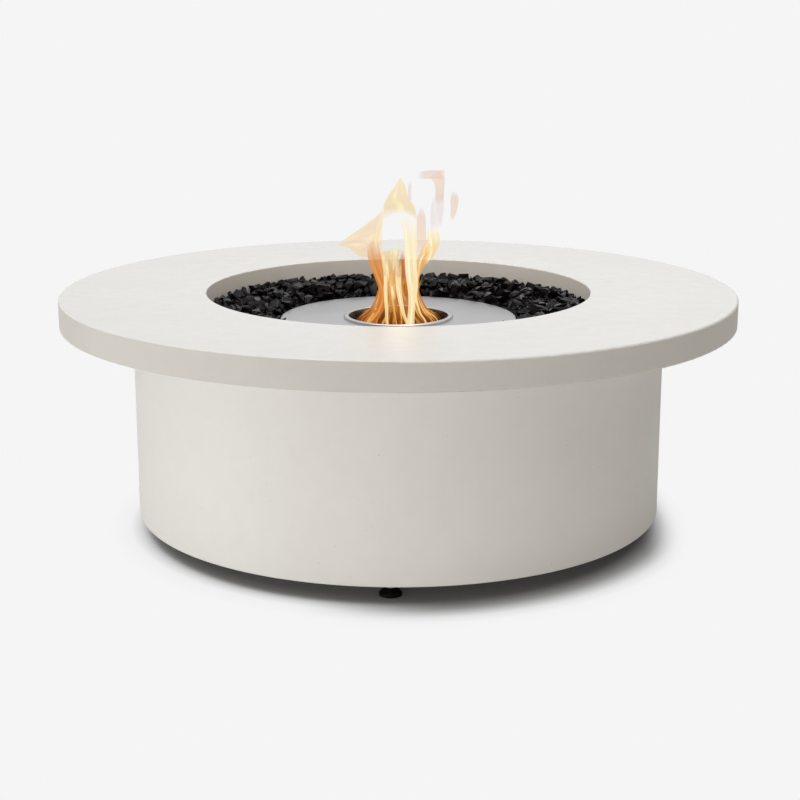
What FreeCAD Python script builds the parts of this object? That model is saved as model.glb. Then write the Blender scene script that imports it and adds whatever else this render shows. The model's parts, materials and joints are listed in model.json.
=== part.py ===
"""Round cast concrete fire table with an ethanol burner.

Sizes are in millimetres. +Z is up, the floor is z = 0, the table's axis is x = y = 0
and the front faces -Y.
"""

import FreeCAD
import Part
import math
import os

from FreeCAD import Vector

# Table top
top_diameter = 1050.0
top_thickness = 42.0
top_edge_round = 2.5
opening_diameter = 600.0
opening_edge_round = 1.5

# Drum
drum_diameter = 828.0
drum_height = 303.0
drum_wall = 26.0
drum_edge_round = 2.5
floor_gap = 23.0

# Base ring, let into a rebate at the drum's lower edge
base_thickness = 20.0
base_width = 74.0
rebate_skin = 10.0
rebate_clearance = 0.4
base_screw_count = 8

# Levelling feet: stem, ball and hexagon in one, with a pad and its rubber sole
foot_count = 4
first_foot_angle = -91.6
foot_inset = 8.0
stem_diameter = 8.0
stem_clearance = 0.05
stem_reach = 14.0
bush_diameter = 14.0
neck_diameter = 6.0
neck_clearance = 0.6
hexagon_flats = 13.0
hexagon_height = 5.0
hexagon_gap = 0.5
ball_diameter = 8.4
ball_clearance = 0.05
socket_floor = 0.5
pad_diameter = 33.0
pad_top_diameter = 19.0
pad_shoulder = 4.5
pad_shoulder_round = 2.5
pad_top_round = 4.0
pad_height = 12.0
pad_lift = 1.0
sole_diameter = 28.0
sole_thickness = 2.5
sole_clearance = 0.2

# Screws, and the threaded sleeves cast into the concrete for them
screw_diameter = 6.0
screw_head_diameter = 11.0
screw_head_height = 4.0
screw_socket_flats = 4.0
screw_socket_depth = 2.5
screw_engagement = 16.0
screw_hole_clearance = 0.3
thread_clearance = 0.05
sleeve_diameter = 10.0
sleeve_length = 20.0
cast_clearance = 0.05

# Rolled angle cleats between drum and top
cleat_count = 4
cleat_angle_from_foot = 45.0
cleat_thickness = 4.0
cleat_leg = 42.0
cleat_length = 68.0
cleat_bend = 3.0
cleat_screw_spacing = 38.0
cleat_screw_drop = 23.0
cleat_screw_reach = 25.0
curved_seat_gap = 0.2

# Folded straps that hang the tray under the top
hanger_count = 4
hanger_thickness = 3.0
hanger_width = 40.0
hanger_margin = 8.0
hanger_top_leg = 40.0
hanger_foot = 66.0
hanger_bend = 2.0
hanger_screw_spacing = 22.0
hanger_screw_reach = 23.0

# Tray for the fire glass, with a collar that carries the burner
tray_sheet = 1.5
tray_gap = 4.0
tray_depth = 48.0
tray_wall_height = 57.0
tray_bend = 1.0
collar_inset = 8.0
casing_clearance = 9.0
tray_screw_diameter = 5.0
tray_screw_head_diameter = 9.4
tray_screw_inset = 24.0
tray_nut_flats = 8.0
tray_nut_height = 4.0
drain_hole_diameter = 8.0
drain_hole_count = 6
drain_circle_inset = 71.0

# Crushed fire glass
glass_drop = 24.0
glass_clearance = 0.4
glass_plate_gap = 1.2
glass_slope_width = 46.0
glass_lump = 4.5
glass_pit = 8.0
glass_edge_lump = 2.0
glass_unevenness = 0.3
glass_rows = 7
glass_sectors = 96

# Burner
plate_drop = 45.0
plate_diameter = 372.0
plate_thickness = 2.0
plate_hem = 7.0
plate_edge_round = 2.5
plate_rim = 31.0
casing_depth = 152.0
casing_wall = 1.5
casing_corner_round = 6.0
tank_gap = 8.0
tank_wall = 1.2
tank_head_space = 32.0
spacer_diameter = 16.0
spacer_circle_diameter = 200.0
spacer_count = 4
weld_gap = 0.1
throat_wall = 1.5
throat_tail = 8.0
baffle_diameter = 220.0
baffle_height = 60.0
baffle_hole_diameter = 12.0
baffle_hole_count = 16
baffle_hole_rows = 2

# Flame ring, loose in the burner's mouth
mouth_diameter = 156.0
ring_wall = 1.5
ring_clearance = 0.5
ring_skirt = 18.0
ring_lip_width = 8.0
ring_lip_height = 4.0
ring_lip_round = 1.8

# Radii that follow
top_radius = top_diameter / 2
opening_radius = opening_diameter / 2
drum_radius = drum_diameter / 2
drum_inner_radius = drum_radius - drum_wall
rebate_radius = drum_radius - rebate_skin
base_outer_radius = rebate_radius - rebate_clearance
base_inner_radius = base_outer_radius - base_width
base_screw_circle = (drum_inner_radius + rebate_radius) / 2
foot_circle = drum_inner_radius - foot_inset
stem_radius = stem_diameter / 2
ball_radius = ball_diameter / 2
screw_radius = screw_diameter / 2
head_radius = screw_head_diameter / 2
sleeve_radius = sleeve_diameter / 2
cleat_radius = drum_inner_radius - curved_seat_gap
cleat_screw_circle = cleat_radius - cleat_screw_reach
web_inner_radius = opening_radius + hanger_margin
web_outer_radius = web_inner_radius + hanger_thickness
hanger_screw_circle = web_inner_radius + hanger_screw_reach
tray_radius = opening_radius - tray_gap
tray_screw_circle = tray_radius - tray_screw_inset
plate_radius = plate_diameter / 2
collar_radius = plate_radius - collar_inset
casing_radius = plate_radius - plate_rim
collar_hole_radius = casing_radius + casing_clearance
tank_radius = casing_radius - tank_gap
mouth_radius = mouth_diameter / 2
ring_radius = mouth_radius + ring_wall
throat_radius = ring_radius + ring_clearance + throat_wall
plate_hole_radius = throat_radius + weld_gap
baffle_radius = baffle_diameter / 2

# Heights that follow
base_top = floor_gap + base_thickness
drum_top = floor_gap + drum_height
table_height = drum_top + top_thickness
plate_top = table_height - plate_drop
plate_underside = plate_top - plate_thickness
tray_underside = plate_underside - tray_depth
tray_floor = tray_underside + tray_sheet
tray_wall_top = tray_underside + tray_wall_height
casing_underside = plate_underside - casing_depth
casing_floor = casing_underside + casing_wall
tank_underside = casing_floor + tank_gap
tank_floor = tank_underside + tank_wall
lid_underside = plate_underside - tank_head_space
ball_height = sole_thickness + socket_floor + ball_radius
hexagon_bottom = pad_height + hexagon_gap
glass_level = table_height - glass_drop

origin = Vector(0, 0, 0)
up = Vector(0, 0, 1)


def outline(points):
    """Closed wire in the XZ plane through (x, z) points; a third number rounds that corner."""
    corners = []
    for index, point in enumerate(points):
        here = Vector(point[0], 0, point[1])
        if len(point) == 2:
            corners.append([here])
            continue
        before = points[index - 1]
        after = points[(index + 1) % len(points)]
        back = (Vector(before[0], 0, before[1]) - here).normalize()
        ahead = (Vector(after[0], 0, after[1]) - here).normalize()
        half_angle = back.getAngle(ahead) / 2
        cut = point[2] / math.tan(half_angle)
        depth = point[2] / math.sin(half_angle) - point[2]
        middle = here + (back + ahead).normalize() * depth
        corners.append([here + back * cut, middle, here + ahead * cut])
    edges = []
    for index, corner in enumerate(corners):
        following = corners[(index + 1) % len(corners)]
        if len(corner) == 3:
            edges.append(Part.Arc(*corner).toShape())
        edges.append(Part.LineSegment(corner[-1], following[0]).toShape())
    return Part.Wire(edges)


def turned(points, sweep=360.0):
    """Solid turned from (radius, height) points, centred on the +X side where it isn't a full turn."""
    solid = Part.Face(outline(points)).revolve(origin, up, sweep)
    if sweep < 360:
        solid.rotate(origin, up, -sweep / 2)
    return solid


def folded(points, width):
    """Strip of constant width, centred on the XZ plane, with (x, height) points as its profile."""
    solid = Part.Face(outline(points)).extrude(Vector(0, width, 0))
    solid.translate(Vector(0, -width / 2, 0))
    return solid


def rod(radius, bottom, top, x=0.0, y=0.0):
    """Upright cylinder."""
    return Part.makeCylinder(radius, top - bottom, Vector(x, y, bottom))


def hexagon(flats, bottom, top):
    """Upright hexagonal prism on the Z axis."""
    radius = flats / math.sqrt(3)
    angles = [math.radians(60 * step) for step in range(7)]
    corners = [Vector(radius * math.cos(a), radius * math.sin(a), bottom) for a in angles]
    return Part.Face(Part.makePolygon(corners)).extrude(Vector(0, 0, top - bottom))


def at_angle(shape, angle):
    """Copy of a shape, turned about the table's axis."""
    copy = shape.copy()
    copy.rotate(origin, up, angle)
    return copy


def around(shape, count, first_angle):
    """Evenly spaced copies of a shape about the table's axis."""
    return [at_angle(shape, first_angle + 360.0 * index / count) for index in range(count)]


def upright(shape, x, y, z):
    """Copy of a shape made at the origin, moved to a place."""
    copy = shape.copy()
    copy.translate(Vector(x, y, z))
    return copy


def lying_outwards(shape, radius, angle, height):
    """Copy of an upright shape, laid so that its +Z points away from the table's axis."""
    copy = shape.copy()
    copy.rotate(origin, Vector(0, 1, 0), 90)
    copy.translate(Vector(radius, 0, height))
    return at_angle(copy, angle)


def cap_screw(length):
    """Socket screw: the head's underside is z = 0 and the shank points up."""
    shank = rod(screw_radius, 0, length)
    head = rod(head_radius, -screw_head_height, 0)
    socket = hexagon(screw_socket_flats, -screw_head_height, screw_socket_depth - screw_head_height)
    return head.cut(socket).fuse(shank).removeSplitter()


def flush_screw(radius, flush_radius, length):
    """Countersunk screw with its flat face at z = 0 and the shank pointing up."""
    cone_height = flush_radius - radius
    points = [(0, 0), (flush_radius, 0), (radius, cone_height), (radius, length), (0, length)]
    return turned(points)


def sleeve():
    """Threaded sleeve that a screw enters from below, from z = 0 up."""
    bore = rod(screw_radius + thread_clearance, 0, sleeve_length)
    return rod(sleeve_radius, 0, sleeve_length).cut(bore)


def sleeve_pocket():
    """Room that a sleeve takes in the concrete, with its mouth clear of a curved face."""
    return rod(sleeve_radius + cast_clearance, -screw_radius, sleeve_length + cast_clearance)


# Places of the repeated fixings

def angle_along(distance, radius):
    """Angle in degrees that a distance takes along a circle."""
    return math.degrees(distance / radius)


first_cleat_angle = first_foot_angle + cleat_angle_from_foot
cleat_angles = [first_cleat_angle + 360.0 * index / cleat_count for index in range(cleat_count)]
first_base_screw_angle = first_foot_angle + 180.0 / base_screw_count
cleat_half_angle = angle_along(cleat_screw_spacing / 2, cleat_radius)
cleat_screw_height = drum_top - cleat_screw_drop


def on_foot_circle(shape):
    """One copy of a shape, made on the Z axis, at each foot."""
    return around(upright(shape, foot_circle, 0, 0), foot_count, first_foot_angle)


def at_base_screws(shape, height):
    return around(upright(shape, base_screw_circle, 0, height), base_screw_count, first_base_screw_angle)


def at_cleat_wall_screws(shape, radius):
    places = []
    for angle in cleat_angles:
        for side in (-1, 1):
            places.append(lying_outwards(shape, radius, angle + side * cleat_half_angle, cleat_screw_height))
    return places


def at_cleat_top_screws(shape, height):
    return around(upright(shape, cleat_screw_circle, 0, height), cleat_count, first_cleat_angle)


def at_hanger_screws(shape, height):
    places = []
    for side in (-1, 1):
        placed = upright(shape, hanger_screw_circle, side * hanger_screw_spacing / 2, height)
        places.extend(around(placed, hanger_count, first_foot_angle))
    return places


def at_tray_screws(shape, height):
    return around(upright(shape, tray_screw_circle, 0, height), hanger_count, first_foot_angle)


# Concrete

def table_top():
    slab = turned([
        (opening_radius, drum_top, opening_edge_round),
        (top_radius, drum_top, top_edge_round),
        (top_radius, table_height, top_edge_round),
        (opening_radius, table_height, opening_edge_round),
    ])
    pockets = at_cleat_top_screws(sleeve_pocket(), drum_top) + at_hanger_screws(sleeve_pocket(), drum_top)
    return slab.cut(pockets)


def drum_shell():
    wall = turned([
        (drum_inner_radius, base_top),
        (rebate_radius, base_top),
        (rebate_radius, floor_gap),
        (drum_radius, floor_gap, drum_edge_round),
        (drum_radius, drum_top),
        (drum_inner_radius, drum_top),
    ])
    pockets = at_base_screws(sleeve_pocket(), base_top)
    pockets += at_cleat_wall_screws(sleeve_pocket(), drum_inner_radius)
    return wall.cut(pockets)


def base_ring():
    ring = rod(base_outer_radius, floor_gap, base_top).cut(rod(base_inner_radius, floor_gap, base_top))
    hole_radius = screw_radius + screw_hole_clearance
    countersink = turned([
        (0, 0),
        (head_radius + screw_hole_clearance, 0),
        (hole_radius, head_radius - screw_radius),
        (hole_radius, base_thickness),
        (0, base_thickness),
    ])
    bush_hole = rod(bush_diameter / 2 + cast_clearance, floor_gap, base_top)
    return ring.cut(at_base_screws(countersink, floor_gap) + on_foot_circle(bush_hole))


# Fixings in the concrete

def base_screws():
    screw = flush_screw(screw_radius, head_radius, base_thickness + screw_engagement)
    return Part.Compound(at_base_screws(screw, floor_gap))


def base_inserts():
    return Part.Compound(at_base_screws(sleeve(), base_top))


def wall_inserts():
    return Part.Compound(at_cleat_wall_screws(sleeve(), drum_inner_radius))


def top_inserts():
    return Part.Compound(at_cleat_top_screws(sleeve(), drum_top) + at_hanger_screws(sleeve(), drum_top))


# Cleats

def joint_cleat():
    inner = cleat_radius - cleat_leg
    leg = turned([
        (inner, drum_top),
        (inner, drum_top - cleat_thickness),
        (cleat_radius - cleat_thickness, drum_top - cleat_thickness, cleat_bend),
        (cleat_radius - cleat_thickness, drum_top - cleat_leg),
        (cleat_radius, drum_top - cleat_leg),
        (cleat_radius, drum_top, cleat_bend + cleat_thickness),
    ], angle_along(cleat_length, cleat_radius))
    hole = rod(screw_radius + screw_hole_clearance, -2 * cleat_thickness, cleat_thickness)
    holes = [upright(hole, cleat_screw_circle, 0, drum_top - cleat_thickness)]
    for side in (-1, 1):
        holes.append(lying_outwards(hole, cleat_radius, side * cleat_half_angle, cleat_screw_height))
    return leg.cut(holes)


def cleat_wall_screws():
    screw = cap_screw(cleat_thickness + screw_engagement)
    return Part.Compound(at_cleat_wall_screws(screw, cleat_radius - cleat_thickness - curved_seat_gap))


def cleat_top_screws():
    screw = cap_screw(cleat_thickness + screw_engagement)
    return Part.Compound(at_cleat_top_screws(screw, drum_top - cleat_thickness))


# Tray and what carries it

def tray_hanger():
    foot_end = web_outer_radius - hanger_foot
    foot_bottom = tray_underside - hanger_thickness
    leg_bottom = drum_top - hanger_thickness
    leg_end = web_inner_radius + hanger_top_leg
    strap = folded([
        (foot_end, foot_bottom),
        (web_outer_radius, foot_bottom, hanger_bend + hanger_thickness),
        (web_outer_radius, leg_bottom, hanger_bend),
        (leg_end, leg_bottom),
        (leg_end, drum_top),
        (web_inner_radius, drum_top, hanger_bend + hanger_thickness),
        (web_inner_radius, tray_underside, hanger_bend),
        (foot_end, tray_underside),
    ], hanger_width)
    leg_hole = rod(screw_radius + screw_hole_clearance, leg_bottom, drum_top)
    holes = [
        upright(leg_hole, hanger_screw_circle, side * hanger_screw_spacing / 2, 0) for side in (-1, 1)
    ]
    holes.append(upright(tray_screw_hole(), tray_screw_circle, 0, 0))
    return strap.cut(holes)


def hanger_screws():
    screw = cap_screw(hanger_thickness + screw_engagement)
    return Part.Compound(at_hanger_screws(screw, drum_top - hanger_thickness))


def tray_screw_hole():
    """Countersunk hole through the tray's floor and a strap's foot, on the Z axis."""
    hole_radius = tray_screw_diameter / 2 + screw_hole_clearance
    flush_radius = tray_screw_head_diameter / 2 + screw_hole_clearance
    foot_bottom = tray_underside - hanger_thickness
    return turned([
        (0, tray_floor),
        (flush_radius, tray_floor),
        (hole_radius, tray_floor - (flush_radius - hole_radius)),
        (hole_radius, foot_bottom),
        (0, foot_bottom),
    ])


def tray_screws():
    length = tray_sheet + hanger_thickness + tray_nut_height
    screw = flush_screw(tray_screw_diameter / 2, tray_screw_head_diameter / 2, length)
    screw.rotate(origin, Vector(1, 0, 0), 180)
    return Part.Compound(at_tray_screws(screw, tray_floor))


def tray_nuts():
    bore = rod(tray_screw_diameter / 2 + thread_clearance, -tray_nut_height, 0)
    nut = hexagon(tray_nut_flats, -tray_nut_height, 0).cut(bore)
    return Part.Compound(at_tray_screws(nut, tray_underside - hanger_thickness))


def media_tray():
    inner_bend = tray_bend
    outer_bend = tray_bend + tray_sheet
    pan = turned([
        (collar_hole_radius, plate_underside),
        (collar_radius, plate_underside, outer_bend),
        (collar_radius, tray_floor, inner_bend),
        (tray_radius - tray_sheet, tray_floor, inner_bend),
        (tray_radius - tray_sheet, tray_wall_top),
        (tray_radius, tray_wall_top),
        (tray_radius, tray_underside, outer_bend),
        (collar_radius - tray_sheet, tray_underside, outer_bend),
        (collar_radius - tray_sheet, plate_underside - tray_sheet, inner_bend),
        (collar_hole_radius, plate_underside - tray_sheet),
    ])
    drain = rod(drain_hole_diameter / 2, tray_underside, tray_floor, tray_radius - drain_circle_inset)
    drains = around(drain, drain_hole_count, first_foot_angle + 180.0 / drain_hole_count)
    return pan.cut(drains + at_tray_screws(tray_screw_hole(), 0))


def scatter(row, sector, kind):
    """Repeatable uneven number from -1 to 1 for one place in the glass bed."""
    wave = math.sin(127.1 * row + 311.7 * (sector % glass_sectors) + 74.7 * kind) * 43758.5
    return 2 * (wave - math.floor(wave)) - 1


def fire_glass():
    """Bed of crushed glass: a jagged top of flat facets, and a step over the tray's wall."""
    sector_angle = 2 * math.pi / glass_sectors
    inner_radius = (plate_radius + glass_plate_gap) / math.cos(sector_angle / 2)
    outer_radius = opening_radius - glass_clearance
    lower_radius = tray_radius - tray_sheet - tray_bend
    step_height = tray_wall_top + glass_clearance
    row_width = (outer_radius - inner_radius) / glass_rows

    def wall_point(radius, sector, height):
        angle = sector * sector_angle
        return Vector(radius * math.cos(angle), radius * math.sin(angle), height)

    def top_point(row, sector):
        inside = 0 < row < glass_rows
        spread = glass_unevenness if inside else 0.0
        radius = inner_radius + row_width * (row + spread * scatter(row, sector, 0))
        angle = sector_angle * (sector + spread * scatter(row, sector, 1))
        slope = min(1.0, (radius - inner_radius) / glass_slope_width)
        level = plate_top + (glass_level - plate_top) * math.sin(slope * math.pi / 2)
        rise = scatter(row, sector, 2)
        if not inside:
            rise *= glass_edge_lump
        elif rise > 0:
            rise *= glass_lump
        else:
            rise *= glass_pit
        return Vector(radius * math.cos(angle), radius * math.sin(angle), level + rise)

    faces = []
    for sector in range(glass_sectors):
        sides = (sector, sector + 1)
        for row in range(glass_rows):
            near = [top_point(row, side) for side in sides]
            far = [top_point(row + 1, side) for side in sides]
            faces.append(Part.makePolygon([near[0], near[1], far[0], near[0]]))
            faces.append(Part.makePolygon([near[1], far[1], far[0], near[1]]))
        loops = [
            [top_point(glass_rows, side) for side in sides],
            [wall_point(outer_radius, side, step_height) for side in sides],
            [wall_point(lower_radius, side, step_height) for side in sides],
            [wall_point(lower_radius, side, tray_floor) for side in sides],
            [wall_point(inner_radius, side, tray_floor) for side in sides],
            [top_point(0, side) for side in sides],
        ]
        for first, second in zip(loops, loops[1:]):
            faces.append(Part.makePolygon([first[0], first[1], second[1], second[0], first[0]]))
    shell = Part.Compound([Part.Face(wire) for wire in faces])
    shell.sewShape()
    return Part.Solid(shell.Shells[0])


# Burner

def burner_plate():
    return turned([
        (plate_hole_radius, plate_underside),
        (plate_hole_radius, plate_top),
        (plate_radius, plate_top, plate_edge_round),
        (plate_radius, plate_top - plate_hem),
        (plate_radius - plate_thickness, plate_top - plate_hem),
        (plate_radius - plate_thickness, plate_underside, plate_edge_round - plate_thickness),
    ])


def burner_casing():
    return turned([
        (0, casing_underside),
        (casing_radius, casing_underside, casing_corner_round),
        (casing_radius, plate_underside),
        (casing_radius - casing_wall, plate_underside),
        (casing_radius - casing_wall, casing_floor, casing_corner_round - casing_wall),
        (0, casing_floor),
    ])


def tank_spacers():
    spacer = rod(spacer_diameter / 2, casing_floor, tank_underside, spacer_circle_diameter / 2)
    return Part.Compound(around(spacer, spacer_count, first_foot_angle))


def fuel_tank():
    can = rod(tank_radius, tank_underside, lid_underside)
    return can.cut(rod(tank_radius - tank_wall, tank_floor, lid_underside))


def tank_lid():
    disc = rod(tank_radius, lid_underside, lid_underside + tank_wall)
    return disc.cut(rod(throat_radius + weld_gap, lid_underside, lid_underside + tank_wall))


def burner_throat():
    bottom = lid_underside - throat_tail
    return rod(throat_radius, bottom, plate_top).cut(rod(throat_radius - throat_wall, bottom, plate_top))


def baffle_ring():
    top = tank_floor + baffle_height
    ring = rod(baffle_radius, tank_floor, top).cut(rod(baffle_radius - tank_wall, tank_floor, top))
    hole = rod(baffle_hole_diameter / 2, -baffle_hole_diameter, baffle_hole_diameter)
    holes = []
    for row in range(baffle_hole_rows):
        height = tank_floor + baffle_height * (row + 1) / (baffle_hole_rows + 1)
        offset = 180.0 * row / baffle_hole_count
        holes.extend(around(lying_outwards(hole, baffle_radius, offset, height), baffle_hole_count, 0))
    return ring.cut(holes)


def flame_ring():
    lip_radius = mouth_radius + ring_lip_width
    lip_top = plate_top + ring_lip_height
    return turned([
        (mouth_radius, plate_top - ring_skirt),
        (ring_radius, plate_top - ring_skirt),
        (ring_radius, plate_top),
        (lip_radius, plate_top),
        (lip_radius, lip_top, ring_lip_round),
        (mouth_radius, lip_top, ring_lip_round),
    ])


# Levelling feet

def foot_insert():
    bush = rod(bush_diameter / 2, floor_gap, base_top)
    return bush.cut(rod(stem_radius + stem_clearance, floor_gap, base_top))


def foot_stem():
    hexagon_top = hexagon_bottom + hexagon_height
    ball = Part.makeSphere(ball_radius, Vector(0, 0, ball_height))
    neck = rod(neck_diameter / 2, ball_height, hexagon_bottom)
    drive = hexagon(hexagon_flats, hexagon_bottom, hexagon_top)
    thread = rod(stem_radius, hexagon_top, base_top + stem_reach)
    return ball.fuse([neck, drive, thread]).removeSplitter()


def foot_pad():
    body = turned([
        (0, sole_thickness),
        (sole_diameter / 2 + sole_clearance, sole_thickness),
        (sole_diameter / 2 + sole_clearance, pad_lift),
        (pad_diameter / 2, pad_lift),
        (pad_diameter / 2, pad_shoulder, pad_shoulder_round),
        (pad_top_diameter / 2, pad_height, pad_top_round),
        (0, pad_height),
    ])
    socket = Part.makeSphere(ball_radius + ball_clearance, Vector(0, 0, ball_height))
    return body.cut([socket, rod(neck_diameter / 2 + neck_clearance, ball_height, pad_height)])


def foot_sole():
    return rod(sole_diameter / 2, 0, sole_thickness)


def numbered(name, shapes):
    return {f"{name}_{index}": shape for index, shape in enumerate(shapes, start=1)}


nodes = {
    "table_top": table_top(),
    "drum_shell": drum_shell(),
    "base_ring": base_ring(),
    "base_screws": base_screws(),
    "base_inserts": base_inserts(),
    "wall_inserts": wall_inserts(),
    "top_inserts": top_inserts(),
    "cleat_wall_screws": cleat_wall_screws(),
    "cleat_top_screws": cleat_top_screws(),
    "hanger_screws": hanger_screws(),
    "media_tray": media_tray(),
    "tray_screws": tray_screws(),
    "tray_nuts": tray_nuts(),
    "fire_glass": fire_glass(),
    "burner_plate": burner_plate(),
    "burner_casing": burner_casing(),
    "tank_spacers": tank_spacers(),
    "fuel_tank": fuel_tank(),
    "tank_lid": tank_lid(),
    "burner_throat": burner_throat(),
    "baffle_ring": baffle_ring(),
    "flame_ring": flame_ring(),
}
nodes.update(numbered("joint_cleat", around(joint_cleat(), cleat_count, first_cleat_angle)))
nodes.update(numbered("tray_hanger", around(tray_hanger(), hanger_count, first_foot_angle)))
nodes.update(numbered("foot_insert", on_foot_circle(foot_insert())))
nodes.update(numbered("foot_stem", on_foot_circle(foot_stem())))
nodes.update(numbered("foot_pad", on_foot_circle(foot_pad())))
nodes.update(numbered("foot_sole", on_foot_circle(foot_sole())))

os.makedirs("parts", exist_ok=True)
for name, shape in nodes.items():
    shape.exportStep(f"parts/{name}.step")
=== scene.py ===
"""Looks of the round concrete fire table: materials, crushed fire glass, flame, studio.

Lengths are in metres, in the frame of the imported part: +Z up, floor at z = 0, front faces -Y.
"""

import json
import math
import random

import bmesh
import bpy
from mathutils import Matrix, Vector, noise


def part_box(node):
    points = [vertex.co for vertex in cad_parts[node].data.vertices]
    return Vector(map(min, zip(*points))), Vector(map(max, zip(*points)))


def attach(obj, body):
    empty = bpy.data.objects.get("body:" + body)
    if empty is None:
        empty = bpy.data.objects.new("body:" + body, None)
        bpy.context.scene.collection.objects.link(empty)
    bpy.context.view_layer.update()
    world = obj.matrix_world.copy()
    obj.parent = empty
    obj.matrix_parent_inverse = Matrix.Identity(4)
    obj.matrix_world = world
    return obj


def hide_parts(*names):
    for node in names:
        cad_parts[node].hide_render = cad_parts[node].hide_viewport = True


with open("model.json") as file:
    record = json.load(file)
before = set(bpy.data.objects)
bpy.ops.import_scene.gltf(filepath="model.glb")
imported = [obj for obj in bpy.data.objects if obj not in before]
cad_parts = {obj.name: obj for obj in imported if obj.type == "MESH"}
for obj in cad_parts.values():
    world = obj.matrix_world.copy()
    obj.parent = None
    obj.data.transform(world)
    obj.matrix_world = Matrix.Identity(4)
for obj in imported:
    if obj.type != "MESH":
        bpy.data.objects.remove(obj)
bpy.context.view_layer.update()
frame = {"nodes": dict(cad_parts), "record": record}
nodes = frame["nodes"]

# Camera, at the photograph's height and angle
camera_place = (0.00255, -2.5849, 0.8277)
camera_tilt_down = 13.905
camera_lens = 74.99
camera_sensor = 36.0

# Studio: the backdrop, the floor's colour for the light that it throws back, and its painted shade: the
# dark colour that the eye sees on the floor, which deepens the shadow under the drum
backdrop_colour = (0.913, 0.913, 0.913, 1.0)
floor_reach = 6.0
floor_colour = (0.97, 0.95, 0.92, 1.0)
painted_contact_shade = (0.17, 0.17, 0.17, 1.0)

# How the floor's painted shadow ends: distance from the table's axis and share of the plain backdrop. The
# light comes from the left, so the painted shadow ends sharply there and reaches further on the right.
shade_squeeze = (1.04, 1.0, 1.0)
fade_left = [
    (0.385, 0.03), (0.405, 0.07), (0.413, 0.16), (0.422, 0.52),
    (0.430, 0.72), (0.446, 0.95), (0.483, 1.0),
]
fade_right = [
    (0.408, 0.02), (0.424, 0.09), (0.440, 0.23), (0.453, 0.47),
    (0.471, 0.83), (0.492, 0.98), (0.515, 1.0),
]

# Places across the table where the painted shadow's left end turns into its right one, and back at the
# right rim
fade_change = (-0.17, 0.08)
fade_return = (0.46, 0.37)

# Light from the room: its colour, and each side's direction and strength
room_colour = (1.0, 0.96, 0.90, 1.0)
room_sides = {
    "left_front": ((-0.7, -0.7, 0.0), 0.684),
    "front": ((0.0, -1.0, 0.0), 0.177),
}

# Lamps: place, width and height, power, colour; each points at the middle of the table
lamp_target = (0.0, 0.0, 0.2)
lamps = {
    "overhead": ((0.0, 0.0, 2.8), (2.6, 2.6), 55.0, (0.985, 0.99, 1.0)),
    "over_right": ((1.1, -0.4, 2.5), (2.0, 2.0), 8.8, (1.0, 0.97, 0.93)),
    "low_left": ((-2.4, -1.0, 0.17), (2.4, 0.3), 8.4, (0.96, 0.98, 1.0)),
    "low_left_front": ((-1.7, -2.4, 0.17), (2.4, 0.3), 11.5, (0.98, 0.99, 1.0)),
    "low_right": ((1.5, -1.3, 0.06), (1.2, 0.1), 0.4, (1.0, 0.66, 0.34)),
}

# Concrete's palest and darkest tone
concrete_pale = (0.815, 0.804, 0.776)
concrete_dark = (0.780, 0.767, 0.735)

# Painted shade: the slab's upright edge is coloured greyer, warmer and darker than its top. The painted
# shade starts and is full at these distances inside the rim, and leaves out a thin skin at the level top.
slab_edge_painted_shade = (0.82, 0.805, 0.775, 1.0)
slab_rim_start = 0.012
slab_rim_end = 0.006
slab_top_skin = 0.0015

# The slab's top is smoother than the rest of the concrete, so the flame gleams on it
slab_top_sheen = 0.60

# Painted light: the drum's colour is a little paler at its foot than at its top, standing in for light
# thrown back by the floor
drum_top_painted_shade = (0.97, 0.97, 0.97, 1.0)
drum_foot_painted_light = (1.07, 1.07, 1.08, 1.0)

# Fire glass: the upper pieces' sizes, how far its level lies under the table top, and a margin at its rims
glass_seed = 41
chip_smallest = 0.020
chip_largest = 0.035
glass_drop = 0.024
glass_margin = 0.004

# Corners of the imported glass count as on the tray's rim within these distances of its level and its wall,
# and as crests down to this depth under the burner plate
rim_level_slack = 0.001
rim_wall_slack = 0.002
crest_depth = 0.010

# Buried layers of chips from the lowest up: depth under the bed's level, spacing, tries, sizes
chip_layers = [(0.011, 0.0130, 9000, 0.014, 0.020), (0.005, 0.0150, 6000, 0.012, 0.019)]

# One broken piece, about 1 unit across: its corners and their reach, how narrow and flat it is, its tilt
shard_kinds = 40
shard_corners = (7, 11)
shard_reach = (0.42, 0.56)
shard_width = (0.7, 0.95)
shard_flatness = 0.68
shard_merge_angle = 9
shard_tilt = 0.7

# Closed bed under the chips: its clearance to the plate, its slope beside it, its depth and lumps
bed_edge_clearance = 0.0012
bed_slope_width = 0.046
bed_sink = 0.013
bed_lump = 0.003
bed_lump_scale = 60.0
bed_rows = 6
bed_sectors = 180

# Tray: its sheet and collar keep the glass this far inside its outline and above its underside
tray_wall = 0.0023
tray_floor = 0.002

# Flame: its curtain's height above the mouth's rim and radius, from the root up
flame_waist = [(-0.009, 0.064), (0.0, 0.056), (0.006, 0.048), (0.013, 0.042), (0.025, 0.036),
               (0.040, 0.031), (0.055, 0.029), (0.070, 0.032), (0.085, 0.038)]
flame_root = flame_waist[0][0]
flame_top = flame_waist[-1][0]

# Strands stand a little outside the curtain, and lean in and widen over this height
strand_stand_off = 1.08
strand_lean_height = 0.055
strand_root_width = 0.7
strand_widening = 0.7

# Tongues keep in front of the curtain, less and less over a stretch that ends at this height
tongue_stand_off = 1.06
tongue_clear_height = 0.095
tongue_clear_fade = 0.045

# Light that the flame gives
flame_glow_power = 0.4
flame_glow_colour = (1.0, 0.76, 0.50)
flame_glow_height = 0.07
flame_glow_radius = 0.03

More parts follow.
